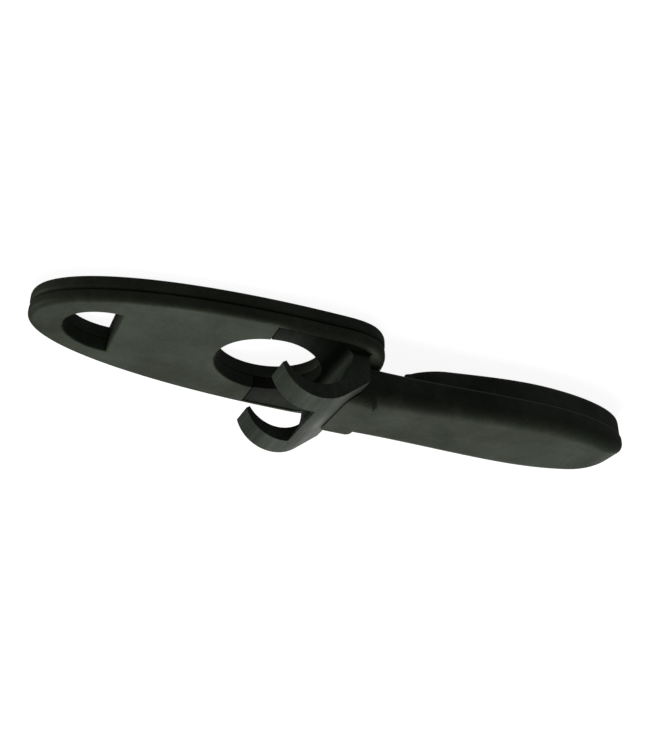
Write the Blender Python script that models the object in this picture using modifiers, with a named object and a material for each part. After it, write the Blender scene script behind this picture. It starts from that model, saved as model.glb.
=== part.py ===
"""Hand cleat horn for a boat: a slotted leaf with a rope groove, a two-jaw rail clip and a paddle-like horn.

It lies on its flat back. +X points to the tip of the leaf, +Z to the clip side, and the origin is on the
resting plane at the middle of the length. Sizes are in metres. Stations are distances from the leaf's tip.
"""
import math

import bmesh
import bpy

MM = 0.001
GAP = 0.3 * MM  # clearance between neighbouring pieces

# Overall
LENGTH = 252 * MM
LEAF_LENGTH = 131 * MM
LEAF_WIDTH = 63 * MM
LEAF_NOSE = 106 * MM  # length of the half ellipse at the tip
LEAF_NOSE_POWER = 2.15
LEAF_HEEL_POWER = 3.2  # squareness of the leaf's other end

# The leaf's two plates, back plate below, with a V-shaped rope groove where they meet
BACK_THICKNESS = 5.6 * MM
FRONT_THICKNESS = 5.1 * MM
GROOVE_CHAMFER = 1.5 * MM
FACE_ROUND = 2.4 * MM  # outer rims of the leaf

# Webbing slot: a straight edge across the leaf, rounded towards the tip
SLOT_STATION = 30.5 * MM  # the straight edge
SLOT_WIDTH = 26.2 * MM
SLOT_DEPTH = 18.3 * MM

# Elliptical rope hole
EYE_STATION = 89.1 * MM
EYE_LENGTH = 41.6 * MM
EYE_WIDTH = 36.6 * MM
EYE_OFFSET = -1.8 * MM  # from the middle, towards -Y
EYE_PINCH = 0.2  # how much narrower its -Y side gets towards the horn

# Rail clip: a foot let into the front plate, a root block and a crescent above it, cut into two jaws
FOOT_STATION_NEAR = 83.5 * MM  # where the foot starts, on the -Y side of the eye
FOOT_STATION_FAR = 89.6 * MM  # and on its +Y side
FOOT_WIDTH = 56.4 * MM
FOOT_TAPER_STATION = 111 * MM  # from here back the foot narrows
FOOT_BACK_WIDTH = 50.6 * MM
SEAT_DEPTH = 0.5 * MM  # how far the seat falls from the foot's front edge to the root
SEAT_FILLET = 3 * MM  # between the seat and the root's wall
ROOT_STATION = 113.6 * MM  # inner wall of the clip
CLIP_BACK_STATION = 120.6 * MM
CLIP_WIDTH = 49.4 * MM
JAW_WIDTH = 11.4 * MM
JAW_NOTCH_STATION = 103.5 * MM  # the notch between the jaws ends here, on the outer surface
JAW_NOTCH_SLOPE = 60  # degrees; from there the notch's end falls back towards the root
CLIP_OUTER_RADIUS = 15.7 * MM
CLIP_OUTER_STATION = 101.2 * MM
CLIP_OUTER_HEIGHT = 17.4 * MM
CLIP_INNER_RADIUS = 13.9 * MM
CLIP_INNER_STATION = 99.4 * MM
CLIP_INNER_HEIGHT = 13.7 * MM
JAW_TIP_ANGLE = 17  # degrees above level, seen from the outer circle's middle
JAW_LIP_ANGLE = 15  # how much sooner the inner circle stops, which slopes the jaws' lips
SPINE_ANGLE = 128  # where the outer circle runs out into the straight spine

# Horn
HORN_NECK_WIDTH = 33 * MM
HORN_WIDTH = 40.4 * MM
HORN_WIDEST_STATION = 204 * MM
HORN_ROOT_HEIGHT = 24.4 * MM  # top face just after the hump
HORN_END_HEIGHT = 21.0 * MM
HORN_ROUND = 6.5 * MM
HORN_TOE = 19 * MM  # length over which the top face rolls down to the end
HORN_TOE_DROP = 9.5 * MM
HUMP_HEIGHT = 26.2 * MM
HUMP_END_STATION = 129.5 * MM
HUMP_RAMP = 2.2 * MM
COVER_STATION = 148.5 * MM  # start of the cover under the horn
COVER_WIDTH = 35.6 * MM
COVER_NECK_WIDTH = 15 * MM
COVER_NOSE = 14 * MM  # length of its rounded start
COVER_ROUND = 4.0 * MM
PARTING_CHAMFER = 0.7 * MM

# Countersunk screws, all put in from the back
SHANK_RADIUS = 1.9 * MM
HEAD_RADIUS = 3.7 * MM
HEAD_HEIGHT = 2.1 * MM
HEAD_SINK = 0.4 * MM
DRIVE_RADIUS = 1.3 * MM
DRIVE_DEPTH = 1.1 * MM
BLIND_MARGIN = 0.8 * MM  # empty depth past a screw's point
PLATE_SCREW = (51 * MM, 12 * MM)  # station and offset from the middle
CLIP_SCREW = (117.1 * MM, 20.6 * MM)
ROOT_SCREW = (126 * MM, 8 * MM)
COVER_SCREWS = (168 * MM, 222 * MM)
PLATE_SCREW_LENGTH = 8.6 * MM
CLIP_SCREW_LENGTH = 13.5 * MM
ROOT_SCREW_LENGTH = 20 * MM
COVER_SCREW_LENGTH = 16 * MM

FRONT_BOTTOM = BACK_THICKNESS + GAP
FACE_HEIGHT = FRONT_BOTTOM + FRONT_THICKNESS
HORN_BOTTOM = FACE_HEIGHT + GAP
TIP_X = LENGTH / 2
OUTLINE_STEPS = 40
END_STEP = 0.05 * MM  # a loft stops this short of where its width would be nothing
END_HALF_WIDTH = 0.6 * MM
CUT_MARGIN = 2 * MM  # how far a cutter runs past what it cuts


def at(station):
    return TIP_X - station


def clear_scene():
    for item in list(bpy.data.objects):
        bpy.data.objects.remove(item, do_unlink=True)


def collection(name):
    made = bpy.data.collections.new(name)
    bpy.context.scene.collection.children.link(made)
    return made


def plastic(name, colour, roughness):
    made = bpy.data.materials.new(name)
    made.use_nodes = True
    shader = made.node_tree.nodes["Principled BSDF"]
    shader.inputs["Base Color"].default_value = (*colour, 1)
    shader.inputs["Roughness"].default_value = roughness
    return made


def steel(name):
    made = plastic(name, (0.55, 0.56, 0.57), 0.3)
    made.node_tree.nodes["Principled BSDF"].inputs["Metallic"].default_value = 1
    return made


def mesh_object(name, mesh, material=None, group=None):
    made = bpy.data.objects.new(name, mesh)
    (group or PARTS).objects.link(made)
    if material:
        mesh.materials.append(material)
    return made


def finish_bmesh(name, work):
    bmesh.ops.recalc_face_normals(work, faces=work.faces)
    mesh = bpy.data.meshes.new(name)
    work.to_mesh(mesh)
    work.free()
    return mesh


def prism(name, outline, low, high, top_bevel=0.0, bottom_bevel=0.0):
    """Extrudes a closed plan outline from low to high; the bevels are left as edge weights for a modifier."""
    work = bmesh.new()
    floor = work.faces.new([work.verts.new((x, y, low)) for x, y in outline])
    made = bmesh.ops.extrude_face_region(work, geom=[floor])
    top = [v for v in made["geom"] if isinstance(v, bmesh.types.BMVert)]
    bmesh.ops.translate(work, verts=top, vec=(0, 0, high - low))
    weight = work.edges.layers.float.new("bevel_weight_edge")
    widest = max(top_bevel, bottom_bevel)
    for edge in work.edges:
        heights = [v.co.z for v in edge.verts]
        if widest and min(heights) == max(heights):
            edge[weight] = (top_bevel if heights[0] > low else bottom_bevel) / widest
    return finish_bmesh(name, work)


def side_prism(name, outline, half_width):
    """Extrudes a closed outline given as (x, z) along Y, evenly to both sides."""
    work = bmesh.new()
    side = work.faces.new([work.verts.new((x, -half_width, z)) for x, z in outline])
    made = bmesh.ops.extrude_face_region(work, geom=[side])
    moved = [v for v in made["geom"] if isinstance(v, bmesh.types.BMVert)]
    bmesh.ops.translate(work, verts=moved, vec=(0, 2 * half_width, 0))
    return finish_bmesh(name, work)


def round_rims(target, width, segments, limit="WEIGHT", angle=50):
    modifier = target.modifiers.new("rims", "BEVEL")
    modifier.width = width
    modifier.segments = segments
    modifier.limit_method = limit
    modifier.angle_limit = math.radians(angle)
    modifier.harden_normals = False


def boolean(target, mesh, operation="DIFFERENCE"):
    tool = mesh_object(f"{target.name}_{mesh.name}", mesh, group=CUTTERS)
    tool.hide_render = True
    tool.display_type = "WIRE"
    modifier = target.modifiers.new(mesh.name, "BOOLEAN")
    modifier.object = tool
    modifier.operation = operation


def spread(start, end, steps):
    return [start + (end - start) * k / steps for k in range(steps + 1)]


def power(value, exponent):
    return math.copysign(abs(value) ** exponent, value)


# Outlines


def leaf_outline(inset=0.0):
    """A blunt half ellipse towards the tip and a squarer one at the heel."""
    middle = at(LEAF_NOSE)
    half_width = LEAF_WIDTH / 2 - inset
    points = []
    for angle in spread(-math.pi / 2, math.pi / 2, OUTLINE_STEPS):
        x = middle + (LEAF_NOSE - inset) * math.cos(angle) ** (2 / LEAF_NOSE_POWER)
        points.append((x, half_width * power(math.sin(angle), 2 / LEAF_NOSE_POWER)))
    heel = LEAF_LENGTH - LEAF_NOSE - inset
    for angle in spread(math.pi / 2, 3 * math.pi / 2, OUTLINE_STEPS)[1:-1]:
        x = middle + heel * power(math.cos(angle), 2 / LEAF_HEEL_POWER)
        points.append((x, half_width * power(math.sin(angle), 2 / LEAF_HEEL_POWER)))
    return points


def slot_outline():
    points = []
    for angle in spread(-math.pi / 2, math.pi / 2, OUTLINE_STEPS // 2):
        x = at(SLOT_STATION) + SLOT_DEPTH * math.cos(angle)
        points.append((x, SLOT_WIDTH / 2 * math.sin(angle)))
    return points


def eye_outline():
    points = []
    for angle in spread(0, 2 * math.pi, OUTLINE_STEPS)[:-1]:
        along, across = math.cos(angle), math.sin(angle)
        if along < 0 and across < 0:
            across *= 1 - EYE_PINCH * along * along
        points.append((at(EYE_STATION) + EYE_LENGTH / 2 * along, EYE_OFFSET + EYE_WIDTH / 2 * across))
    return points


def foot_outline(grow=0.0):
    """The clip's foot in plan; grow makes the pocket that it sits in."""
    half = FOOT_WIDTH / 2 + grow
    back_half = FOOT_BACK_WIDTH / 2 + grow
    near, far = at(FOOT_STATION_NEAR) + grow, at(FOOT_STATION_FAR) + grow
    taper, back = at(FOOT_TAPER_STATION), at(CLIP_BACK_STATION) - grow
    points = [(back, -back_half), (taper, -half), (near, -half), (near, 0)]
    return points + [(far, 0), (far, half), (taper, half), (back, back_half)]


def foot_corner(sign):
    """The corner trimmed off the foot at its back, on one side."""
    taper, back = at(FOOT_TAPER_STATION), at(CLIP_BACK_STATION)
    half, back_half = sign * FOOT_WIDTH / 2, sign * FOOT_BACK_WIDTH / 2
    beyond = 1 + CUT_MARGIN / (taper - back)
    end = (taper + (back - taper) * beyond, half + (back_half - half) * beyond)
    return [(taper, half), (taper, 2 * half), (end[0], 2 * half), end]


def clip_outer_arc(grow=0.0, steps=16):
    radius = CLIP_OUTER_RADIUS + grow
    x, z = at(CLIP_OUTER_STATION), CLIP_OUTER_HEIGHT
    angles = spread(math.radians(JAW_TIP_ANGLE), math.radians(SPINE_ANGLE), steps)
    return [(x + radius * math.cos(a), z + radius * math.sin(a)) for a in angles]


def spine_end(grow=0.0):
    """Where the straight spine, tangent to the outer circle, meets the clip's back plane."""
    x, z = clip_outer_arc(grow)[-1]
    back = at(CLIP_BACK_STATION) - grow
    slope = math.radians(SPINE_ANGLE - 90)
    return back, z - (x - back) * math.tan(slope)


def notch_outline():
    """The notch between the jaws from the side; its end slopes, and stops just inside the inner circle."""
    inner_x, inner_z = at(CLIP_INNER_STATION), CLIP_INNER_HEIGHT
    reach = at(JAW_NOTCH_STATION) - at(CLIP_OUTER_STATION)
    x, z = at(JAW_NOTCH_STATION), CLIP_OUTER_HEIGHT + math.sqrt(CLIP_OUTER_RADIUS**2 - reach**2)
    down_x, down_z = -math.cos(math.radians(JAW_NOTCH_SLOPE)), -math.sin(math.radians(JAW_NOTCH_SLOPE))
    towards = (inner_x - x) * down_x + (inner_z - z) * down_z
    aside = (inner_x - x) * down_z - (inner_z - z) * down_x
    travel = towards - math.sqrt(max(0, (CLIP_INNER_RADIUS - GAP) ** 2 - aside**2))
    front, top = at(FOOT_STATION_NEAR), HUMP_HEIGHT * 2
    rise = (top - z) / down_z
    points = [(x + down_x * rise, top), (x + down_x * travel, z + down_z * travel)]
    return points + [(inner_x, inner_z), (front, inner_z), (front, top)]


def clip_outline():
    """The clip from the side: foot, root, crescent and spine."""
    low = FRONT_BOTTOM
    front = at(FOOT_STATION_NEAR)
    wall = at(ROOT_STATION)
    seat = FACE_HEIGHT - SEAT_DEPTH
    x, z = at(CLIP_INNER_STATION), CLIP_INNER_HEIGHT
    points = [(front, low), (front, FACE_HEIGHT - GAP)]
    for share in (0.25, 0.5, 0.75):
        points.append((front + (wall - front) * share, FACE_HEIGHT - GAP - (SEAT_DEPTH - GAP) * share**0.8))
    for angle in spread(0, math.pi / 2, 4):
        curve_x = wall + SEAT_FILLET * (1 - math.sin(angle))
        points.append((curve_x, seat + SEAT_FILLET * (1 - math.cos(angle))))
    wall_angle = math.pi - math.acos(min(1, abs(x - wall) / CLIP_INNER_RADIUS))
    for angle in spread(wall_angle, math.radians(JAW_TIP_ANGLE + JAW_LIP_ANGLE), 20):
        points.append((x + CLIP_INNER_RADIUS * math.cos(angle), z + CLIP_INNER_RADIUS * math.sin(angle)))
    points += clip_outer_arc()
    points += [spine_end(), (at(CLIP_BACK_STATION), low)]
    return points


# Pieces


def screw(name, station, offset, length):
    """A countersunk screw pointing up, its drive hole open to the back."""
    profile = [
        (0, HEAD_SINK + DRIVE_DEPTH),
        (DRIVE_RADIUS, HEAD_SINK + DRIVE_DEPTH),
        (DRIVE_RADIUS, HEAD_SINK),
        (HEAD_RADIUS, HEAD_SINK),
        (SHANK_RADIUS, HEAD_SINK + HEAD_HEIGHT),
        (SHANK_RADIUS, length - SHANK_RADIUS),
        (0, length),
    ]
    work = bmesh.new()
    chain = [work.verts.new((r, 0, z)) for r, z in reversed(profile)]
    for first, second in zip(chain, chain[1:]):
        work.edges.new((first, second))
    mesh = bpy.data.meshes.new(name)
    work.to_mesh(mesh)
    work.free()
    made = mesh_object(name, mesh, METAL)
    made.location = (at(station), offset, 0)
    turn = made.modifiers.new("turn", "SCREW")
    turn.steps = 24
    turn.render_steps = 24
    turn.use_merge_vertices = True
    turn.merge_threshold = 0.00001
    turn.use_smooth_shade = True
    return made


def screw_hole(name, station, offset, length):
    """The room of one screw, with its countersink, as a solid to cut away."""
    radius = SHANK_RADIUS + GAP
    head = HEAD_RADIUS + GAP
    work = bmesh.new()
    rings = [(head, -CUT_MARGIN), (head, HEAD_SINK + GAP), (radius, HEAD_SINK + HEAD_HEIGHT + GAP),
             (radius, length + BLIND_MARGIN)]
    loops = []
    for size, height in rings:
        turns = [2 * math.pi * k / 24 for k in range(24)]
        loops.append([work.verts.new((at(station) + size * math.cos(a), offset + size * math.sin(a), height))
                      for a in turns])
    work.faces.new(loops[0])
    work.faces.new(loops[-1])
    for lower, upper in zip(loops, loops[1:]):
        for k in range(24):
            n = (k + 1) % 24
            work.faces.new((lower[k], lower[n], upper[n], upper[k]))
    return finish_bmesh(name, work)


def cut_screw_pair(target, name, place, length):
    for side, sign in SIDES:
        boolean(target, screw_hole(f"{name}_{side}", place[0], sign * place[1], length))


def leaf_back_plate():
    mesh = prism("leaf_back_plate", leaf_outline(), 0, BACK_THICKNESS, GROOVE_CHAMFER, FACE_ROUND)
    plate = mesh_object("leaf_back_plate", mesh, PLASTIC)
    round_rims(plate, FACE_ROUND, 3)
    boolean(plate, prism("slot", slot_outline(), -CUT_MARGIN, FACE_HEIGHT))
    boolean(plate, prism("eye", eye_outline(), -CUT_MARGIN, FACE_HEIGHT))
    cut_screw_pair(plate, "plate_screw", PLATE_SCREW, FACE_HEIGHT)
    cut_screw_pair(plate, "clip_screw", CLIP_SCREW, FACE_HEIGHT)
    cut_screw_pair(plate, "root_screw", ROOT_SCREW, FACE_HEIGHT)


def leaf_front_plate():
    mesh = prism("leaf_front_plate", leaf_outline(), FRONT_BOTTOM, FACE_HEIGHT, FACE_ROUND, GROOVE_CHAMFER)
    plate = mesh_object("leaf_front_plate", mesh, PLASTIC)
    round_rims(plate, FACE_ROUND, 3)
    boolean(plate, prism("slot", slot_outline(), 0, FACE_HEIGHT + CUT_MARGIN))
    boolean(plate, prism("eye", eye_outline(), 0, FACE_HEIGHT + CUT_MARGIN))
    boolean(plate, prism("pocket", foot_outline(GAP), 0, FACE_HEIGHT + CUT_MARGIN))
    cut_screw_pair(plate, "plate_screw", PLATE_SCREW, PLATE_SCREW_LENGTH)
    cut_screw_pair(plate, "root_screw", ROOT_SCREW, FACE_HEIGHT + CUT_MARGIN)


def rail_clip():
    clip = mesh_object("rail_clip", side_prism("rail_clip", clip_outline(), FOOT_WIDTH / 2), CLIP_PLASTIC)
    step = at(FOOT_STATION_FAR)
    far_step = [(step, 0), (at(0), 0), (at(0), FOOT_WIDTH), (step, FOOT_WIDTH)]
    boolean(clip, prism("far_step", far_step, 0, FACE_HEIGHT + CUT_MARGIN))
    back = at(CLIP_BACK_STATION) - CUT_MARGIN
    front = at(FOOT_STATION_NEAR) + CUT_MARGIN
    for side, sign in SIDES:
        inner, outer = sign * CLIP_WIDTH / 2, sign * FOOT_WIDTH
        trim = [(back, inner), (front, inner), (front, outer), (back, outer)]
        boolean(clip, prism(f"shoulder_{side}", trim, FACE_HEIGHT - GAP, HUMP_HEIGHT * 2))
        boolean(clip, prism(f"corner_{side}", foot_corner(sign), 0, FACE_HEIGHT + CUT_MARGIN))
    half = CLIP_WIDTH / 2 - JAW_WIDTH
    boolean(clip, side_prism("notch", notch_outline(), half))
    boolean(clip, prism("eye", eye_outline(), 0, FACE_HEIGHT + CUT_MARGIN / 2))
    cut_screw_pair(clip, "clip_screw", CLIP_SCREW, CLIP_SCREW_LENGTH)


def smooth(share):
    share = min(1, max(0, share))
    return share * share * (3 - 2 * share)


def horn_half_width(station, widest, neck):
    if station > HORN_WIDEST_STATION:
        share = (station - HORN_WIDEST_STATION) / (LENGTH - HORN_WIDEST_STATION)
        return widest / 2 * math.sqrt(max(0, 1 - share * share))
    grown = smooth((station - HUMP_END_STATION) / (HORN_WIDEST_STATION - HUMP_END_STATION))
    return neck / 2 + (widest - neck) / 2 * grown


def horn_top(station):
    fall = (station - HUMP_END_STATION) / (LENGTH - HUMP_END_STATION)
    face = HORN_ROOT_HEIGHT + (HORN_END_HEIGHT - HORN_ROOT_HEIGHT) * max(0, fall)
    ramp = smooth((station - HUMP_END_STATION) / HUMP_RAMP + 0.5)
    return face + (HUMP_HEIGHT - HORN_ROOT_HEIGHT) * (1 - ramp)


def rounded_section(half_width, low, high, top_round, low_round, steps=5):
    """Points (y, z) round a section, anticlockwise from its lower corner on the +Y side."""
    top_round = min(top_round, half_width * 0.95, (high - low) * 0.6)
    low_round = min(low_round, half_width * 0.9, (high - low) * 0.35)
    points = []
    corners = ((half_width, low, low_round, -90, 1), (half_width, high, top_round, 0, 1))
    for width, height, size, start, side in corners:
        y = width - size
        z = height + size if height == low else height - size
        for angle in spread(math.radians(start), math.radians(start + 90), steps):
            points.append((y + size * math.cos(angle), z + size * math.sin(angle)))
    return points + [(-y, z) for y, z in reversed(points)]


def loft(name, stations, section):
    work = bmesh.new()
    rings = [[work.verts.new((at(s), y, z)) for y, z in section(s)] for s in stations]
    count = len(rings[0])
    for first, second in zip(rings, rings[1:]):
        for k in range(count):
            n = (k + 1) % count
            work.faces.new((first[k], first[n], second[n], second[k]))
    work.faces.new(rings[0])
    work.faces.new(rings[-1])
    return finish_bmesh(name, work)


def end_stations(start, end, steps, length):
    """Stations that crowd together towards the rounded end."""
    return [end - length * (1 - math.sin(k / steps * math.pi / 2)) for k in range(steps)] + [end - END_STEP]


def horn_body():
    start = CLIP_INNER_STATION + CLIP_INNER_RADIUS

    def section(station):
        # The end closes in height as well as in width, like the toe of a shoe.
        share = max(0, (station - (LENGTH - HORN_TOE)) / HORN_TOE)
        drop = HORN_TOE_DROP * (1 - math.sqrt(max(0, 1 - share * share)))
        front = max(0, 1 - (station - start) / HORN_ROUND)
        lip = HORN_ROUND * 0.4 * (1 - math.sqrt(max(0, 1 - front * front)))
        width = horn_half_width(station, HORN_WIDTH, HORN_NECK_WIDTH)
        high = horn_top(station) - drop - lip
        return rounded_section(max(width, END_HALF_WIDTH), HORN_BOTTOM, high, HORN_ROUND, PARTING_CHAMFER)

    ramp = [HUMP_END_STATION + HUMP_RAMP * k / 4 for k in (-2, -1, 0, 1, 2)]
    stations = spread(start, ramp[0] - 1.5 * MM, 5) + ramp
    stations += spread(ramp[-1] + 2 * MM, HORN_WIDEST_STATION, 8)
    stations += end_stations(HORN_WIDEST_STATION, LENGTH, 12, LENGTH - HORN_WIDEST_STATION)[1:]
    horn = mesh_object("horn_body", loft("horn_body", stations, section), PLASTIC)
    room = [(at(0), 0), (at(0), HUMP_HEIGHT * 2)] + clip_outer_arc(GAP)
    room += [spine_end(GAP), (at(CLIP_BACK_STATION) - GAP, 0)]
    boolean(horn, side_prism("clip_room", room, FOOT_WIDTH))
    cut_screw_pair(horn, "root_screw", ROOT_SCREW, ROOT_SCREW_LENGTH)
    for number, station in enumerate(COVER_SCREWS, 1):
        boolean(horn, screw_hole(f"cover_screw_{number}", station, 0, COVER_SCREW_LENGTH))


def horn_back_cover():
    def section(station):
        nose = max(0, 1 - (station - COVER_STATION) / COVER_NOSE)
        width = horn_half_width(station, COVER_WIDTH, COVER_NECK_WIDTH) * math.sqrt(max(0, 1 - nose * nose))
        share = max(0, (station - (LENGTH - COVER_ROUND)) / COVER_ROUND)
        rise = COVER_ROUND * (1 - math.sqrt(max(0, 1 - share * share)))
        width = max(width, END_HALF_WIDTH)
        return rounded_section(width, rise, HORN_BOTTOM - GAP, PARTING_CHAMFER, COVER_ROUND)

    stations = [COVER_STATION + COVER_NOSE * (1 - math.cos(k / 5 * math.pi / 2)) for k in range(6)]
    stations[0] += END_STEP
    stations += spread(stations[-1], HORN_WIDEST_STATION, 8)[1:]
    stations += end_stations(HORN_WIDEST_STATION, LENGTH, 12, LENGTH - HORN_WIDEST_STATION)[1:]
    cover = mesh_object("horn_back_cover", loft("horn_back_cover", stations, section), PLASTIC)
    for number, station in enumerate(COVER_SCREWS, 1):
        boolean(cover, screw_hole(f"cover_screw_{number}", station, 0, FACE_HEIGHT + CUT_MARGIN))


def screws():
    for side, sign in SIDES:
        screw(f"plate_screw_{side}", PLATE_SCREW[0], sign * PLATE_SCREW[1], PLATE_SCREW_LENGTH)
        screw(f"clip_screw_{side}", CLIP_SCREW[0], sign * CLIP_SCREW[1], CLIP_SCREW_LENGTH)
        screw(f"root_screw_{side}", ROOT_SCREW[0], sign * ROOT_SCREW[1], ROOT_SCREW_LENGTH)
    for number, station in enumerate(COVER_SCREWS, 1):
        screw(f"cover_screw_{number}", station, 0, COVER_SCREW_LENGTH)


SIDES = (("near", -1), ("far", 1))
clear_scene()
PARTS = collection("cleat_horn")
CUTTERS = collection("cutters")
PLASTIC = plastic("black_nylon", (0.03, 0.034, 0.028), 0.45)
CLIP_PLASTIC = plastic("black_clip_nylon", (0.035, 0.038, 0.034), 0.4)
METAL = steel("stainless_steel")
leaf_back_plate()
leaf_front_plate()
rail_clip()
horn_body()
horn_back_cover()
screws()
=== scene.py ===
"""Looks of the hand cleat horn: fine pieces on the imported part, their materials, floor, lights and camera.

Sizes are in metres, and angles in degrees unless marked. Stations are distances from the leaf's tip.
"""
import math

import bmesh
import bpy
from mathutils import Matrix, Vector


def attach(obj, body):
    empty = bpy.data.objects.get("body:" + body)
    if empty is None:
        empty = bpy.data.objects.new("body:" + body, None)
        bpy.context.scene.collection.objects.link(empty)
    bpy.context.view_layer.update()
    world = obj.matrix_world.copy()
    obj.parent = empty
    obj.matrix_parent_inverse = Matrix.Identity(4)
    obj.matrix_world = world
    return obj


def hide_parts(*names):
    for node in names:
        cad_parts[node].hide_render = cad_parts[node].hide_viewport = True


MM = 0.001
GAP = 0.3 * MM

# The part's sizes
LENGTH = 252 * MM
TIP_X = LENGTH / 2
LEAF_LENGTH = 131 * MM
LEAF_WIDTH = 63 * MM
LEAF_NOSE = 106 * MM
LEAF_NOSE_POWER = 2.15
LEAF_HEEL_POWER = 3.2
BACK_THICKNESS = 5.6 * MM
FRONT_THICKNESS = 5.1 * MM
GROOVE_CHAMFER = 1.5 * MM
FACE_ROUND = 2.4 * MM
SLOT_STATION = 30.5 * MM
SLOT_WIDTH = 26.2 * MM
SLOT_DEPTH = 18.3 * MM
EYE_STATION = 89.1 * MM
EYE_LENGTH = 41.6 * MM
EYE_WIDTH = 36.6 * MM
EYE_OFFSET = -1.8 * MM
EYE_PINCH = 0.2
FOOT_STATION_NEAR = 83.5 * MM
FOOT_STATION_FAR = 89.6 * MM
FOOT_WIDTH = 56.4 * MM
FOOT_BACK_WIDTH = 50.6 * MM
FOOT_TAPER_STATION = 111 * MM
SEAT_DEPTH = 0.5 * MM
SEAT_FILLET = 3 * MM
ROOT_STATION = 113.6 * MM
CLIP_BACK_STATION = 120.6 * MM
CLIP_WIDTH = 49.4 * MM
JAW_WIDTH = 11.4 * MM
JAW_NOTCH_STATION = 103.5 * MM
JAW_NOTCH_SLOPE = 60
CLIP_OUTER_RADIUS = 15.7 * MM
CLIP_OUTER_STATION = 101.2 * MM
CLIP_OUTER_HEIGHT = 17.4 * MM
CLIP_INNER_RADIUS = 13.9 * MM
CLIP_INNER_STATION = 99.4 * MM
CLIP_INNER_HEIGHT = 13.7 * MM
JAW_TIP_ANGLE = 17
JAW_LIP_ANGLE = 15
SPINE_ANGLE = 128
HORN_NECK_WIDTH = 33 * MM
HORN_WIDTH = 40.4 * MM
HORN_WIDEST_STATION = 204 * MM
HORN_ROOT_HEIGHT = 24.4 * MM
HORN_END_HEIGHT = 21.0 * MM
HORN_ROUND = 6.5 * MM
HORN_TOE = 19 * MM
HORN_TOE_DROP = 9.5 * MM
HUMP_HEIGHT = 26.2 * MM
HUMP_END_STATION = 129.5 * MM
HUMP_RAMP = 2.2 * MM
COVER_STATION = 148.5 * MM
COVER_WIDTH = 35.6 * MM
COVER_NECK_WIDTH = 15 * MM
COVER_NOSE = 14 * MM
COVER_ROUND = 4.0 * MM
PARTING_CHAMFER = 0.7 * MM
SHANK_RADIUS = 1.9 * MM
HEAD_RADIUS = 3.7 * MM
HEAD_HEIGHT = 2.1 * MM
HEAD_SINK = 0.4 * MM
DRIVE_RADIUS = 1.3 * MM
DRIVE_DEPTH = 1.1 * MM
BLIND_MARGIN = 0.8 * MM
PLATE_SCREW = (51 * MM, 12 * MM)
CLIP_SCREW = (117.1 * MM, 20.6 * MM)
ROOT_SCREW = (126 * MM, 8 * MM)
COVER_SCREWS = (168 * MM, 222 * MM)
PLATE_SCREW_LENGTH = 8.6 * MM
CLIP_SCREW_LENGTH = 13.5 * MM
ROOT_SCREW_LENGTH = 20 * MM
COVER_SCREW_LENGTH = 16 * MM
FRONT_BOTTOM = BACK_THICKNESS + GAP
FACE_HEIGHT = FRONT_BOTTOM + FRONT_THICKNESS
HORN_BOTTOM = FACE_HEIGHT + GAP
CUT_MARGIN = 2 * MM
ABOVE = 2 * HUMP_HEIGHT
END_STEP = 0.05 * MM
END_HALF_WIDTH = 0.6 * MM
TOP_ROUND_LIMITS = (0.95, 0.6)  # of the half width and of the height
LOW_ROUND_LIMITS = (0.9, 0.35)
SIDES = (("near", -1), ("far", 1))

# Fineness
OUTLINE_STEPS = 110
ARC_STEPS = 48
RIM_SEGMENTS = 8
CORNER_STEPS = 14
EDGE_SEGMENTS = 3
FLARE_STEPS = 5
SEAT_STEPS = 16
FILLET_STEPS = 12
HUMP_STEPS = 48
RAMP_STEPS = 10
HORN_STEPS = 60
COVER_STEPS = 30
NOSE_STEPS = 24
END_STEPS = 48
FLARE_SWEEP = 75
FLARE_MARGIN = 0.3 * MM
SHARP_ANGLE = 35
EDGE_ANGLE = 40
WELD_DISTANCE = 1e-7

# Sizes that only the looks have
HOLE_EDGE = 0.8 * MM
POCKET_EDGE = 0.5 * MM
CLIP_EDGE = 0.2 * MM
SCREW_EDGE = 0.06 * MM
HEAD_CHAMFER = 0.12 * MM
HUMP_CORNER = 4.5 * MM
HUMP_CORNER_START = 0.5
LIP_DROP = 0.4 * HORN_ROUND
RAMP_MARGINS = (0.4 * MM, 0.5 * MM)
SEAT_RAMP_END = 0.75
SEAT_RAMP_POWER = 0.8
HORN_EDGE_ANGLE = 50
THREAD_PITCH = 1.1 * MM
THREAD_DEPTH = 0.32 * MM
THREAD_STEPS = 20
PLAIN_SHANK = 1.2 * MM
THREAD_START = HEAD_SINK + HEAD_HEIGHT + PLAIN_SHANK + THREAD_DEPTH
POINT_LENGTH = 3 * MM
LOBES = 6
LOBE_RADIUS = 1.12 * DRIVE_RADIUS
LOBE_WAVE = 0.16 * DRIVE_RADIUS
LOBE_DEPTH = 1.2 * DRIVE_DEPTH
MARK_STATION = 124.5 * MM
MARK_ANGLE = 60
MARK_RADIUS = 1.1 * MM
MARK_LINE = 0.14 * MM
MARK_RISE = MARK_LINE / 2

# Materials and light
SHEEN = 0.3
SPECKLE = 0.18
MOTTLE_DARK = 0.5
GRAIN_SCALE = 1500
PIT_SCALE = 620
WAVE_SCALE = 60
MOTTLE_SCALE = 34
SPECK_SCALE = 900
RUB_SCALE = 55
PATCH_SCALE = 120
PIT_RANGE = (0.05, 0.35)
MOTTLE_RANGE = (0.34, 0.7)
SPECK_RANGE = (0.3, 0.7)
RUB_RANGE = (0.45, 0.65)
PATCH_RANGE = (0.52, 0.72)
LENGTHWISE_RANGE = (0.66, 0.74)
CROSSWISE_RANGE = (0.69, 0.76)
LINE_RANGE = (0.36, 0.64)
GRAIN_SHARE, PIT_SHARE, WAVE_SHARE = 0.6, 0.25, 1.4
SHEEN_SWING = (0.72, 1.12)
DULLER, SHINIER = 0.06, 0.05
STREAK_RELIEF = 3
BUMP_STRENGTH = 0.8
STEEL_BUMP_STRENGTH = 0.3
STEEL_ROUGHNESS = (0.24, 0.4)
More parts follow.
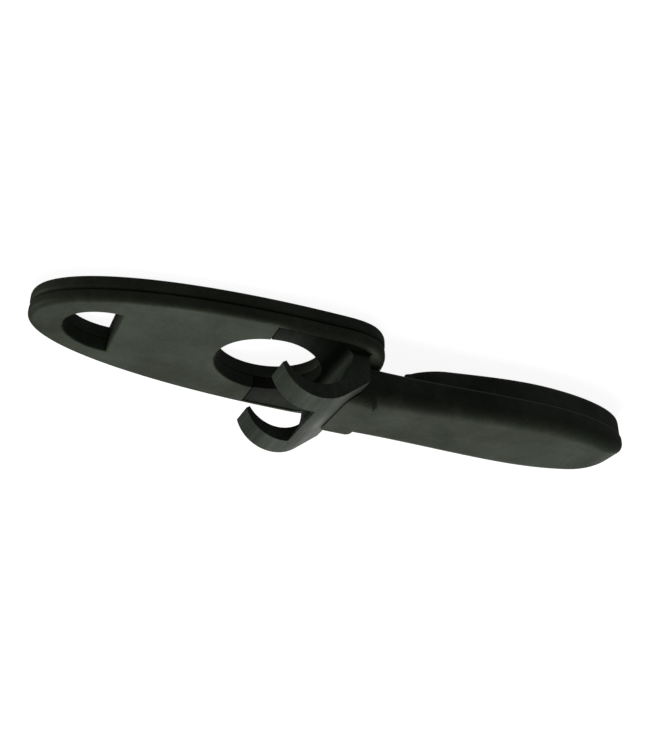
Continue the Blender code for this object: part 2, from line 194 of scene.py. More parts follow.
LENGTHWISE_STRETCH = (30, 1500, 1500)
CROSSWISE_STRETCH = (1300, 40, 900)
FINE_LINE_STRETCH = (1400, 9, 1400)
BROAD_LINE_STRETCH = (420, 5, 420)
SLANT = 0.7  # radians
PATCH_WEAR = 0.75
SCRATCH_WEAR = 0.8
PATCH_ROUGHNESS = 0.12
BUMP_DEPTH = 0.06 * MM
STEEL_BUMP_DEPTH = 0.02 * MM
# Height above the leaf's face over which the painted shade fades out
PAINTED_SHADE_DEPTH = 2 * MM
SEAM_HEIGHT = HORN_BOTTOM + 0.75 * PARTING_CHAMFER
SEAM_HALF_BAND = 0.7 * PARTING_CHAMFER
SEAM_COLOUR = (0.11, 0.125, 0.10, 1)
STEEL_BRIGHT = (0.56, 0.57, 0.58, 1)
STEEL_DULL = (0.38, 0.37, 0.35, 1)
FLOOR_GREY = (0.3, 0.3, 0.3, 1)
FLOOR_GLOW = 0.92
FLOOR_ROUGHNESS = 0.9
FLOOR_HALF_SIZE = 3
FLOOR_DROP = 0.1 * MM
AMBIENT = 0.12
LIGHTS = (  # name, direction, distance, size, energy, colour
    ("key", (-0.14, 0.52, 0.84), 1.4, 1.0, 12.3, (0.95, 1.0, 0.9)),
    ("mouth", (0.95, 0.14, 0.22), 1.2, 0.4, 4, (0.95, 1.0, 0.9)),
    ("table_bounce", (-0.62, 0.76, -0.16), 1.2, 0.8, 2.4, (0.97, 1.0, 0.95)),
)
CAMERA_PLACE = (0.14699, -0.30889, 0.19945)
CAMERA_BACK = (0.3482, -0.7975, 0.4928)
CAMERA_RIGHT = (-0.9151, -0.4033, -0.0061)
CAMERA_LENS = 47.79
CAMERA_NEAREST = 0.01
CAMERA_SHIFT = (-0.0023, 0.0011)


def at(station):
    return TIP_X - station


def spread(start, end, steps):
    return [start + (end - start) * k / steps for k in range(steps + 1)]


def smooth(share):
    share = min(1, max(0, share))
    return share * share * (3 - 2 * share)


# Solids


def link(name, mesh):
    made = bpy.data.objects.new(name, mesh)
    bpy.context.scene.collection.objects.link(made)
    return made


def closed(name, work):
    """A mesh from a bmesh with its faces turned outward and shaded smooth."""
    bmesh.ops.recalc_face_normals(work, faces=work.faces)
    for face in work.faces:
        face.smooth = True
    mesh = bpy.data.meshes.new(name)
    work.to_mesh(mesh)
    work.free()
    return mesh


def prism(name, outline, low, high):
    work = bmesh.new()
    floor = work.faces.new([work.verts.new((x, y, low)) for x, y in outline])
    made = bmesh.ops.extrude_face_region(work, geom=[floor])
    top = [v for v in made["geom"] if isinstance(v, bmesh.types.BMVert)]
    bmesh.ops.translate(work, verts=top, vec=(0, 0, high - low))
    return closed(name, work)


def side_prism(name, outline, half_width):
    work = bmesh.new()
    side = work.faces.new([work.verts.new((x, -half_width, z)) for x, z in outline])
    made = bmesh.ops.extrude_face_region(work, geom=[side])
    moved = [v for v in made["geom"] if isinstance(v, bmesh.types.BMVert)]
    bmesh.ops.translate(work, verts=moved, vec=(0, 2 * half_width, 0))
    return closed(name, work)


def loft(name, stations, section):
    work = bmesh.new()
    rings = [[work.verts.new((at(s), y, z)) for y, z in section(s)] for s in stations]
    count = len(rings[0])
    for first, second in zip(rings, rings[1:]):
        for k in range(count):
            n = (k + 1) % count
            work.faces.new((first[k], first[n], second[n], second[k]))
    work.faces.new(rings[0])
    work.faces.new(rings[-1])
    return closed(name, work)


def grown(outline, distance):
    """The closed outline moved outward, its corners mitred."""
    count = len(outline)
    area = sum(a[0] * b[1] - b[0] * a[1] for a, b in zip(outline, outline[1:] + outline[:1]))
    turn = 1 if area > 0 else -1
    normals = []
    for (ax, ay), (bx, by) in zip(outline, outline[1:] + outline[:1]):
        size = math.hypot(bx - ax, by - ay)
        normals.append((turn * (by - ay) / size, -turn * (bx - ax) / size))
    points = []
    for k in range(count):
        (px, py), (qx, qy) = normals[k - 1], normals[k]
        share = distance / (1 + px * qx + py * qy)
        points.append((outline[k][0] + (px + qx) * share, outline[k][1] + (py + qy) * share))
    return points


def flared(name, outline, low, high, low_round, high_round):
    """A cutter for a through hole that leaves rounded rims; a rim of no size is cut square."""
    rings = []
    for height, size, way in ((low, low_round, -1), (high, high_round, 1)):
        end = []
        for angle in spread(0, math.radians(FLARE_SWEEP), FLARE_STEPS) if size else [0]:
            end.append((size * (1 - math.cos(angle)), height - way * size * (1 - math.sin(angle))))
        offset, level = end[-1]
        beyond = height + way * FLARE_MARGIN
        flare = abs(beyond - level) * math.tan(math.radians(FLARE_SWEEP)) if size else 0
        end.append((offset + flare, beyond))
        rings += end if way > 0 else end[::-1]
    work = bmesh.new()
    loops = [[work.verts.new((x, y, z)) for x, y in grown(outline, offset)] for offset, z in rings]
    count = len(outline)
    for lower, upper in zip(loops, loops[1:]):
        for k in range(count):
            n = (k + 1) % count
            work.faces.new((lower[k], lower[n], upper[n], upper[k]))
    work.faces.new(loops[0])
    work.faces.new(loops[-1])
    return closed(name, work)


def lathe(name, place, profile):
    """Turns (radius, height) points into a closed solid; the first and last lie on the axis."""
    x, y = place
    steps = ARC_STEPS
    work = bmesh.new()
    rings = []
    for radius, height in profile:
        if radius == 0:
            rings.append([work.verts.new((x, y, height))])
            continue
        ring = []
        for turn in [2 * math.pi * k / steps for k in range(steps)]:
            ring.append(work.verts.new((x + radius * math.cos(turn), y + radius * math.sin(turn), height)))
        rings.append(ring)
    for lower, upper in zip(rings, rings[1:]):
        for k in range(steps):
            n = (k + 1) % steps
            corners = [lower[k % len(lower)], lower[n % len(lower)]]
            corners += [upper[n % len(upper)], upper[k % len(upper)]]
            work.faces.new(list(dict.fromkeys(corners)))
    return closed(name, work)


def baked(item):
    """The item's mesh with its modifiers applied."""
    bpy.context.view_layer.update()
    state = bpy.context.evaluated_depsgraph_get()
    return bpy.data.meshes.new_from_object(item.evaluated_get(state))


class Solid:
    """A mesh with cuts and rounded edges, baked into one finished piece."""

    def __init__(self, name, mesh):
        self.name = name
        self.shape = link(f"{name}_shape", mesh)
        self.cutters = []

    def rims(self, width):
        """Rounds the edges that carry a bevel weight."""
        modifier = self.shape.modifiers.new("rims", "BEVEL")
        modifier.width = width
        modifier.segments = RIM_SEGMENTS
        modifier.limit_method = "WEIGHT"

    def cut(self, mesh):
        cutter = link(f"{self.name}_{mesh.name}", mesh)
        self.cutters.append(cutter)
        modifier = self.shape.modifiers.new(mesh.name, "BOOLEAN")
        modifier.object = cutter
        modifier.operation = "DIFFERENCE"

    def cut_screws(self, place, length):
        for side, sign in SIDES:
            self.cut(screw_room(f"room_{side}", (at(place[0]), sign * place[1]), length))

    def soften(self, width, angle=EDGE_ANGLE):
        """Rounds every edge that turns by more than the angle."""
        modifier = self.shape.modifiers.new("edges", "BEVEL")
        modifier.width = width
        modifier.segments = EDGE_SEGMENTS
        modifier.limit_method = "ANGLE"
        modifier.angle_limit = math.radians(angle)
        modifier.use_clamp_overlap = False

    def finished(self, material, slot, *stands_for):
        """Bakes the piece, with flat faces shaded flat and sharp edges kept sharp."""
        self.shape.data = baked(self.shape)
        self.shape.modifiers.clear()
        self.shape.data.set_sharp_from_angle(angle=math.radians(SHARP_ANGLE))
        weigh = self.shape.modifiers.new("normals", "WEIGHTED_NORMAL")
        weigh.weight = 100
        weigh.keep_sharp = True
        mesh = baked(self.shape)
        mesh.name = f"{self.name}_fine"
        mesh.materials.clear()
        mesh.materials.append(material)
        for item in [self.shape, *self.cutters]:
            bpy.data.objects.remove(item)
        return show(mesh.name, mesh, slot, *stands_for)


# Geometry node trees


def node_tree(name, inputs):
    """An empty geometry node tree with named inputs."""
    tree = bpy.data.node_groups.new(name, "GeometryNodeTree")
    for label, kind in inputs:
        tree.interface.new_socket(label, in_out="INPUT", socket_type=kind)
    tree.interface.new_socket("Geometry", in_out="OUTPUT", socket_type="NodeSocketGeometry")
    return tree, tree.nodes.new("NodeGroupInput").outputs, tree.nodes.new("NodeGroupOutput").inputs


def end_tree(tree, geometry, material, out):
    """Realizes the geometry, gives it the material and joins it to the tree's output."""
    real = add(tree, "GeometryNodeRealizeInstances", links={"Geometry": geometry})
    links = {"Geometry": real.outputs["Geometry"], "Material": material}
    coated = add(tree, "GeometryNodeSetMaterial", links=links)
    tree.links.new(coated.outputs["Geometry"], out["Geometry"])


def give_nodes(item, tree, values):
    """Adds the tree to the item as a modifier, its inputs set by their identifiers."""
    modifier = item.modifiers.new(tree.name, "NODES")
    modifier.node_group = tree
    for socket in tree.interface.items_tree:
        if socket.in_out == "INPUT" and socket.name in values:
            modifier[socket.identifier] = values[socket.name]


def leaf_tree():
    """A leaf blank: two half superellipses, each with its own length and power, meet at the widest place."""
    inputs = [(label, "NodeSocketFloat") for label in ("Middle", "Nose", "Heel", "Half Width", "Nose Power")]
    inputs += [(label, "NodeSocketFloat") for label in ("Heel Power", "Low", "High", "Top Rim", "Bottom Rim")]
    inputs += [("Points", "NodeSocketInt"), ("Material", "NodeSocketMaterial")]
    tree, given, out = node_tree("leaf_blank", inputs)
    circle = add(tree, "GeometryNodeCurvePrimitiveCircle", {"Radius": 1.0}, {"Resolution": given["Points"]})
    place = add(tree, "GeometryNodeInputPosition").outputs["Position"]
    turn = add(tree, "ShaderNodeSeparateXYZ", links={"Vector": place})
    along, across = turn.outputs["X"], turn.outputs["Y"]
    ahead = maths(tree, "GREATER_THAN", along, 0.0)
    length = ramp(tree, ahead, 0, 1, given["Heel"], given["Nose"])
    exponent = maths(tree, "DIVIDE", 2.0, ramp(tree, ahead, 0, 1, given["Heel Power"], given["Nose Power"]))
    places = []
    for turned, reach in ((along, length), (across, given["Half Width"])):
        bent = maths(tree, "POWER", maths(tree, "ABSOLUTE", turned, 0), exponent)
        bent = maths(tree, "MULTIPLY", bent, maths(tree, "SIGN", turned, 0))
        places.append(maths(tree, "MULTIPLY", bent, reach))
    x = maths(tree, "ADD", places[0], given["Middle"])
    spot = add(tree, "ShaderNodeCombineXYZ", links={"X": x, "Y": places[1]})
    outline = add(tree, "GeometryNodeSetPosition",
                  links={"Geometry": circle.outputs["Curve"], "Position": spot.outputs["Vector"]})
    floor = add(tree, "GeometryNodeFillCurve", links={"Curve": outline.outputs["Geometry"]}, mode="NGONS")
    rise = maths(tree, "SUBTRACT", given["High"], given["Low"])
    way = add(tree, "ShaderNodeCombineXYZ", links={"Z": rise})
    walls = add(tree, "GeometryNodeExtrudeMesh", {"Offset Scale": 1.0, "Individual": False},
                {"Mesh": floor.outputs["Mesh"], "Offset": way.outputs["Vector"]}, mode="FACES")
    base = add(tree, "GeometryNodeFlipFaces", links={"Mesh": floor.outputs["Mesh"]})
    both = add(tree, "GeometryNodeJoinGeometry")
    for part in (walls, base):
        tree.links.new(part.outputs["Mesh"], both.inputs["Geometry"])
    sealed = add(tree, "GeometryNodeMergeByDistance", {"Distance": WELD_DISTANCE},
                 {"Geometry": both.outputs["Geometry"]})
    ends = add(tree, "GeometryNodeInputMeshEdgeVertices")
    heights = []
    for key in ("Position 1", "Position 2"):
        heights.append(add(tree, "ShaderNodeSeparateXYZ", links={"Vector": ends.outputs[key]}).outputs["Z"])
    half = maths(tree, "MULTIPLY", rise, 0.5)
    rims = []
    for side, rim in (("GREATER_THAN", "Top Rim"), ("LESS_THAN", "Bottom Rim")):
        there = maths(tree, "MULTIPLY", *[maths(tree, side, height, half) for height in heights])
        rims.append(maths(tree, "MULTIPLY", there, given[rim]))
    widest = maths(tree, "MAXIMUM", given["Top Rim"], given["Bottom Rim"])
    weight = maths(tree, "DIVIDE", maths(tree, "ADD", *rims), widest)
    marked = add(tree, "GeometryNodeStoreNamedAttribute", {"Name": "bevel_weight_edge"},
                 {"Geometry": sealed.outputs["Geometry"], "Value": weight}, data_type="FLOAT", domain="EDGE")
    lift = add(tree, "ShaderNodeCombineXYZ", links={"Z": given["Low"]})
    raised = add(tree, "GeometryNodeSetPosition",
                 links={"Geometry": marked.outputs["Geometry"], "Offset": lift.outputs["Vector"]})
    end_tree(tree, raised.outputs["Geometry"], given["Material"], out)
    return tree


def leaf_blank(name, low, high, top_rim, bottom_rim):
    """A plate of the leaf without its openings; its two rims carry bevel weights."""
    holder = link(name, bpy.data.meshes.new(name))
    give_nodes(holder, LEAF_TREE, {
        "Middle": at(LEAF_NOSE), "Nose": LEAF_NOSE, "Heel": LEAF_LENGTH - LEAF_NOSE,
        "Half Width": LEAF_WIDTH / 2, "Nose Power": LEAF_NOSE_POWER, "Heel Power": LEAF_HEEL_POWER,
        "Low": low, "High": high, "Top Rim": top_rim, "Bottom Rim": bottom_rim,
        "Points": 2 * OUTLINE_STEPS, "Material": LEAF_NYLON,
    })
    work = bmesh.new()
    work.from_mesh(baked(holder))
    bpy.data.objects.remove(holder)
    return closed(name, work)


def thread_tree():
    """Winds a ridge round a shank that stands on the given place, and joins it to the screw."""
    inputs = [("Geometry", "NodeSocketGeometry"), ("Place", "NodeSocketVector")]
    inputs += [(label, "NodeSocketFloat") for label in ("Shank Radius", "Ridge", "Pitch", "Length")]
    inputs += [("Steps", "NodeSocketInt"), ("Material", "NodeSocketMaterial")]
    tree, given, out = node_tree("screw_thread", inputs)
    turns = maths(tree, "DIVIDE", given["Length"], given["Pitch"])
    path = {"Resolution": given["Steps"], "Rotations": turns, "Height": given["Length"]}
    path.update({"Start Radius": given["Shank Radius"], "End Radius": given["Shank Radius"]})
    helix = add(tree, "GeometryNodeCurveSpiral", links=path)
    section = add(tree, "GeometryNodeCurvePrimitiveCircle", {"Resolution": 4}, {"Radius": given["Ridge"]})
    ridge = add(tree, "GeometryNodeCurveToMesh", {"Fill Caps": True},
                {"Curve": helix.outputs["Curve"], "Profile Curve": section.outputs["Curve"]})
    wound = add(tree, "GeometryNodeTransform",
                links={"Geometry": ridge.outputs["Mesh"], "Translation": given["Place"]})
    both = add(tree, "GeometryNodeJoinGeometry")
    for part in (given["Geometry"], wound.outputs["Geometry"]):
        tree.links.new(part, both.inputs["Geometry"])
    end_tree(tree, both.outputs["Geometry"], given["Material"], out)
    return tree


def show(name, mesh, slot, *stands_for):
    piece = link(name, mesh)
    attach(piece, "root")
    if stands_for:
        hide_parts(*stands_for)
    return piece


# Outlines


def slot_outline():
    points = []
    for angle in spread(-math.pi / 2, math.pi / 2, ARC_STEPS):
        points.append((at(SLOT_STATION) + SLOT_DEPTH * math.cos(angle), SLOT_WIDTH / 2 * math.sin(angle)))
    return points


def eye_outline():
    points = []
    for angle in spread(0, 2 * math.pi, 2 * ARC_STEPS)[:-1]:
        along, across = math.cos(angle), math.sin(angle)
        if along < 0 and across < 0:
            across *= 1 - EYE_PINCH * along * along
        points.append((at(EYE_STATION) + EYE_LENGTH / 2 * along, EYE_OFFSET + EYE_WIDTH / 2 * across))
    return points


def foot_outline(grow=0.0):
    half = FOOT_WIDTH / 2 + grow
    back_half = FOOT_BACK_WIDTH / 2 + grow
    near, far = at(FOOT_STATION_NEAR) + grow, at(FOOT_STATION_FAR) + grow
    taper, back = at(FOOT_TAPER_STATION), at(CLIP_BACK_STATION) - grow
    points = [(back, -back_half), (taper, -half), (near, -half), (near, 0)]
    return points + [(far, 0), (far, half), (taper, half), (back, back_half)]


def foot_corner(sign):
    """The corner trimmed off the foot at its back, on one side."""
    taper, back = at(FOOT_TAPER_STATION), at(CLIP_BACK_STATION)
    half, back_half = sign * FOOT_WIDTH / 2, sign * FOOT_BACK_WIDTH / 2
    beyond = 1 + CUT_MARGIN / (taper - back)
    end = (taper + (back - taper) * beyond, half + (back_half - half) * beyond)
    return [(taper, half), (taper, 2 * half), (end[0], 2 * half), end]


def clip_outer_arc(grow=0.0):
    radius = CLIP_OUTER_RADIUS + grow
    x, z = at(CLIP_OUTER_STATION), CLIP_OUTER_HEIGHT
    angles = spread(math.radians(JAW_TIP_ANGLE), math.radians(SPINE_ANGLE), ARC_STEPS)
    return [(x + radius * math.cos(a), z + radius * math.sin(a)) for a in angles]


def spine_end(grow=0.0):
    x, z = clip_outer_arc(grow)[-1]
    back = at(CLIP_BACK_STATION) - grow
    return back, z - (x - back) * math.tan(math.radians(SPINE_ANGLE - 90))


def notch_outline():
    """The notch between the jaws from the side; its end slopes, and stops just inside the inner circle."""
    inner_x, inner_z = at(CLIP_INNER_STATION), CLIP_INNER_HEIGHT
    reach = at(JAW_NOTCH_STATION) - at(CLIP_OUTER_STATION)
    x, z = at(JAW_NOTCH_STATION), CLIP_OUTER_HEIGHT + math.sqrt(CLIP_OUTER_RADIUS**2 - reach**2)
    down_x, down_z = -math.cos(math.radians(JAW_NOTCH_SLOPE)), -math.sin(math.radians(JAW_NOTCH_SLOPE))
    towards = (inner_x - x) * down_x + (inner_z - z) * down_z
    aside = (inner_x - x) * down_z - (inner_z - z) * down_x
    travel = towards - math.sqrt(max(0, (CLIP_INNER_RADIUS - GAP) ** 2 - aside**2))
    front, top = at(FOOT_STATION_NEAR), ABOVE
    rise = (top - z) / down_z
    points = [(x + down_x * rise, top), (x + down_x * travel, z + down_z * travel)]
    return points + [(inner_x, inner_z), (front, inner_z), (front, top)]


def clip_outline():
    low = FRONT_BOTTOM
    front = at(FOOT_STATION_NEAR)
    wall = at(ROOT_STATION)
    seat = FACE_HEIGHT - SEAT_DEPTH
    x, z = at(CLIP_INNER_STATION), CLIP_INNER_HEIGHT
    points = [(front, low), (front, FACE_HEIGHT - GAP)]
    for share in spread(0, SEAT_RAMP_END, SEAT_STEPS)[1:]:
        sunk = GAP + (SEAT_DEPTH - GAP) * share**SEAT_RAMP_POWER
        points.append((front + (wall - front) * share, FACE_HEIGHT - sunk))
    for angle in spread(0, math.pi / 2, FILLET_STEPS):
        curve_x = wall + SEAT_FILLET * (1 - math.sin(angle))
        points.append((curve_x, seat + SEAT_FILLET * (1 - math.cos(angle))))
    wall_angle = math.pi - math.acos(min(1, abs(x - wall) / CLIP_INNER_RADIUS))
    for angle in spread(wall_angle, math.radians(JAW_TIP_ANGLE + JAW_LIP_ANGLE), ARC_STEPS):
        points.append((x + CLIP_INNER_RADIUS * math.cos(angle), z + CLIP_INNER_RADIUS * math.sin(angle)))
    return points + clip_outer_arc() + [spine_end(), (at(CLIP_BACK_STATION), low)]


# Horn sections


def horn_half_width(station, widest, neck):
    if station > HORN_WIDEST_STATION:
        share = (station - HORN_WIDEST_STATION) / (LENGTH - HORN_WIDEST_STATION)
        return widest / 2 * math.sqrt(max(0, 1 - share * share))
    swell = smooth((station - HUMP_END_STATION) / (HORN_WIDEST_STATION - HUMP_END_STATION))
    return neck / 2 + (widest - neck) / 2 * swell


def horn_top(station):
    fall = (station - HUMP_END_STATION) / (LENGTH - HUMP_END_STATION)
    face = HORN_ROOT_HEIGHT + (HORN_END_HEIGHT - HORN_ROOT_HEIGHT) * max(0, fall)
    ramp = smooth((station - HUMP_END_STATION) / HUMP_RAMP + 0.5)
    return face + (HUMP_HEIGHT - HORN_ROOT_HEIGHT) * (1 - ramp)


def rounded_section(half_width, low, high, top_round, low_round):
    """A ring of a loft with rounded corners, each limited by its share of the width and the height."""
    top_round = min(top_round, half_width * TOP_ROUND_LIMITS[0], (high - low) * TOP_ROUND_LIMITS[1])
    low_round = min(low_round, half_width * LOW_ROUND_LIMITS[0], (high - low) * LOW_ROUND_LIMITS[1])
    points = []
    for height, size, start in ((low, low_round, -90), (high, top_round, 0)):
        y = half_width - size
        z = height + size if height == low else height - size
        for angle in spread(math.radians(start), math.radians(start + 90), CORNER_STEPS):
            points.append((y + size * math.cos(angle), z + size * math.sin(angle)))
    return points + [(-y, z) for y, z in reversed(points)]


def end_stations():
    """Stations from the widest place to the horn's end, crowded towards the end."""
    length = LENGTH - HORN_WIDEST_STATION
    crowded = [LENGTH - length * (1 - math.sin(k / END_STEPS * math.pi / 2)) for k in range(1, END_STEPS)]
    return [s for s in crowded if s < LENGTH - 2 * END_STEP] + [LENGTH - END_STEP]


# Screws


def screw_room(name, place, length):
    radius, head = SHANK_RADIUS + GAP, HEAD_RADIUS + GAP
    top = length + BLIND_MARGIN
    profile = [(0, -CUT_MARGIN), (head, -CUT_MARGIN), (head, HEAD_SINK + GAP)]
    profile += [(radius, HEAD_SINK + HEAD_HEIGHT + GAP), (radius, top), (0, top)]
    return lathe(name, place, profile)


def screw_profile(length):
    """From the drive recess round the head and along the core of the thread to the point."""
    core = SHANK_RADIUS - THREAD_DEPTH
    socket, rim = HEAD_SINK + DRIVE_DEPTH, HEAD_SINK + HEAD_CHAMFER
    neck = HEAD_SINK + HEAD_HEIGHT
    points = [(0, socket), (DRIVE_RADIUS, socket), (DRIVE_RADIUS, rim)]
    points += [(DRIVE_RADIUS + HEAD_CHAMFER, HEAD_SINK), (HEAD_RADIUS - HEAD_CHAMFER, HEAD_SINK)]
    points += [(HEAD_RADIUS, rim), (SHANK_RADIUS, neck), (SHANK_RADIUS, neck + PLAIN_SHANK)]
    return points + [(core, THREAD_START), (core, length - POINT_LENGTH), (0, length)]


def drive_socket(place):
    """Six-lobed recess for a driver, cut a little deeper than the round one."""
    x, y = place
    points = []
    for angle in spread(0, 2 * math.pi, ARC_STEPS)[:-1]:
        radius = LOBE_RADIUS + LOBE_WAVE * math.cos(LOBES * angle)
        points.append((x + radius * math.cos(angle), y + radius * math.sin(angle)))
    return prism("drive", points, -CUT_MARGIN, HEAD_SINK + LOBE_DEPTH)


def screw(name, station, offset, length):
    place = (at(station), offset)
    body = Solid(name, lathe(name, place, screw_profile(length)))
    body.cut(drive_socket(place))
    body.soften(SCREW_EDGE)
    give_nodes(body.shape, THREAD_TREE, {
        "Place": (*place, THREAD_START), "Shank Radius": SHANK_RADIUS - THREAD_DEPTH, "Ridge": THREAD_DEPTH,
        "Pitch": THREAD_PITCH, "Length": length - POINT_LENGTH - THREAD_START, "Steps": THREAD_STEPS,
        "Material": STEEL,
    })
    body.finished(STEEL, "steel", name)


# Materials


def add(tree, kind, values=(), links=(), **settings):
    made = tree.nodes.new(kind)
    for key, value in settings.items():
        setattr(made, key, value)
    for key, value in dict(values).items():
        made.inputs[key].default_value = value
    for key, socket in dict(links).items():
        tree.links.new(socket, made.inputs[key])
    return made


def group(name, inputs, outputs):
    tree = bpy.data.node_groups.new(name, "ShaderNodeTree")
    for label, kind, value in inputs:
        socket = tree.interface.new_socket(label, in_out="INPUT", socket_type=kind)
        socket.default_value = value
    for label, kind in outputs:
        tree.interface.new_socket(label, in_out="OUTPUT", socket_type=kind)
    return tree, tree.nodes.new("NodeGroupInput").outputs, tree.nodes.new("NodeGroupOutput").inputs


def noise(tree, vector, scale, detail=3.0, roughness=0.55):
    values = {"Scale": scale, "Detail": detail, "Roughness": roughness}
    return add(tree, "ShaderNodeTexNoise", values, {"Vector": vector}).outputs["Fac"]


def stretched(tree, vector, scale):
    made = add(tree, "ShaderNodeMapping", {"Scale": scale}, {"Vector": vector})
    return made.outputs["Vector"]


def ramp(tree, value, low, high, to_low=0.0, to_high=1.0):
    """Maps the value from one range to another, whose ends may be numbers or sockets."""
    made = add(tree, "ShaderNodeMapRange", {"From Min": low, "From Max": high}, {"Value": value})
    for key, end in (("To Min", to_low), ("To Max", to_high)):
        if isinstance(end, (int, float)):
            made.inputs[key].default_value = end
        else:
            tree.links.new(end, made.inputs[key])
    return made.outputs["Result"]


def maths(tree, operation, first, second):
    made = tree.nodes.new("ShaderNodeMath")
    made.operation = operation
    for place, value in enumerate((first, second)):
        if isinstance(value, (int, float)):
            made.inputs[place].default_value = value
        else:
            tree.links.new(value, made.inputs[place])
    return made.outputs[0]


def mixed(tree, share, first, second):
    made = add(tree, "ShaderNodeMix", data_type="RGBA")
    tree.links.new(share, made.inputs["Factor"])
    for key, value in (("A", first), ("B", second)):
        socket = next(s for s in made.inputs if s.name == key and s.type == "RGBA")
        if isinstance(value, tuple):
            socket.default_value = value
        else:
            tree.links.new(value, socket)
    return next(s for s in made.outputs if s.type == "RGBA")


def grain_group():
    """A moulded skin: its height, of fine grain, shallow pits and slow waves, and two colour masks."""
    tree, given, out = group(
        "mould_grain",
        [("Vector", "NodeSocketVector", (0, 0, 0)), ("Fineness", "NodeSocketFloat", 1.0)],
        [("Height", "NodeSocketFloat"), ("Mottle", "NodeSocketFloat"), ("Speck", "NodeSocketFloat")],
    )
    scaled = add(tree, "ShaderNodeVectorMath", operation="SCALE", links={"Vector": given["Vector"]})
    tree.links.new(given["Fineness"], scaled.inputs["Scale"])
    vector = scaled.outputs["Vector"]
    fine = noise(tree, vector, GRAIN_SCALE, detail=4.0)
    pits = add(tree, "ShaderNodeTexVoronoi", {"Scale": PIT_SCALE}, {"Vector": vector}).outputs["Distance"]
    pits = ramp(tree, pits, *PIT_RANGE)
    waves = noise(tree, vector, WAVE_SCALE, detail=2.0)
    grain, pits = maths(tree, "MULTIPLY", fine, GRAIN_SHARE), maths(tree, "MULTIPLY", pits, PIT_SHARE)
    height = maths(tree, "ADD", grain, pits)
    height = maths(tree, "ADD", height, maths(tree, "MULTIPLY", waves, WAVE_SHARE))
    tree.links.new(height, out["Height"])
    mottle = noise(tree, vector, MOTTLE_SCALE, detail=5.0, roughness=0.6)
    tree.links.new(ramp(tree, mottle, *MOTTLE_RANGE), out["Mottle"])
    speck = noise(tree, vector, SPECK_SCALE, detail=2.0, roughness=0.7)
    tree.links.new(ramp(tree, speck, *SPECK_RANGE), out["Speck"])
    return tree


def scuff_group():
    """Where a surface has been rubbed: thin scratches lengthwise and across, and small dull patches."""
    tree, given, out = group(
        "scuffs",
        [("Vector", "NodeSocketVector", (0, 0, 0)), ("Amount", "NodeSocketFloat", 0.5)],
        [("Scratch", "NodeSocketFloat"), ("Patch", "NodeSocketFloat")],
    )
    vector = given["Vector"]
    lengthwise = noise(tree, stretched(tree, vector, LENGTHWISE_STRETCH), 1.0, detail=2.0)
    lengthwise = ramp(tree, lengthwise, *LENGTHWISE_RANGE)
    slanted = add(tree, "ShaderNodeVectorRotate", {"Angle": SLANT}, {"Vector": vector},
                  rotation_type="Z_AXIS")
    across = noise(tree, stretched(tree, slanted.outputs["Vector"], CROSSWISE_STRETCH), 1.0, detail=2.0)
    across = ramp(tree, across, *CROSSWISE_RANGE)
    where = ramp(tree, noise(tree, vector, RUB_SCALE), *RUB_RANGE)
    scratch = maths(tree, "MULTIPLY", maths(tree, "MAXIMUM", lengthwise, across), where)
    tree.links.new(maths(tree, "MULTIPLY", scratch, given["Amount"]), out["Scratch"])
    patch = ramp(tree, noise(tree, vector, PATCH_SCALE, detail=6.0, roughness=0.65), *PATCH_RANGE)
    tree.links.new(maths(tree, "MULTIPLY", patch, given["Amount"]), out["Patch"])
    return tree


def streak_group():
    """Fine lines along Y, as left on a piece that was drawn or milled that way."""
    inputs = [("Vector", "NodeSocketVector", (0, 0, 0))]
    tree, given, out = group("streaks", inputs, [("Line", "NodeSocketFloat")])
    fine = noise(tree, stretched(tree, given["Vector"], FINE_LINE_STRETCH), 1.0)
    broad = noise(tree, stretched(tree, given["Vector"], BROAD_LINE_STRETCH), 1.0, detail=1.0)
    line = maths(tree, "ADD", maths(tree, "MULTIPLY", fine, 0.5), maths(tree, "MULTIPLY", broad, 0.5))
    tree.links.new(ramp(tree, line, *LINE_RANGE), out["Line"])
    return tree


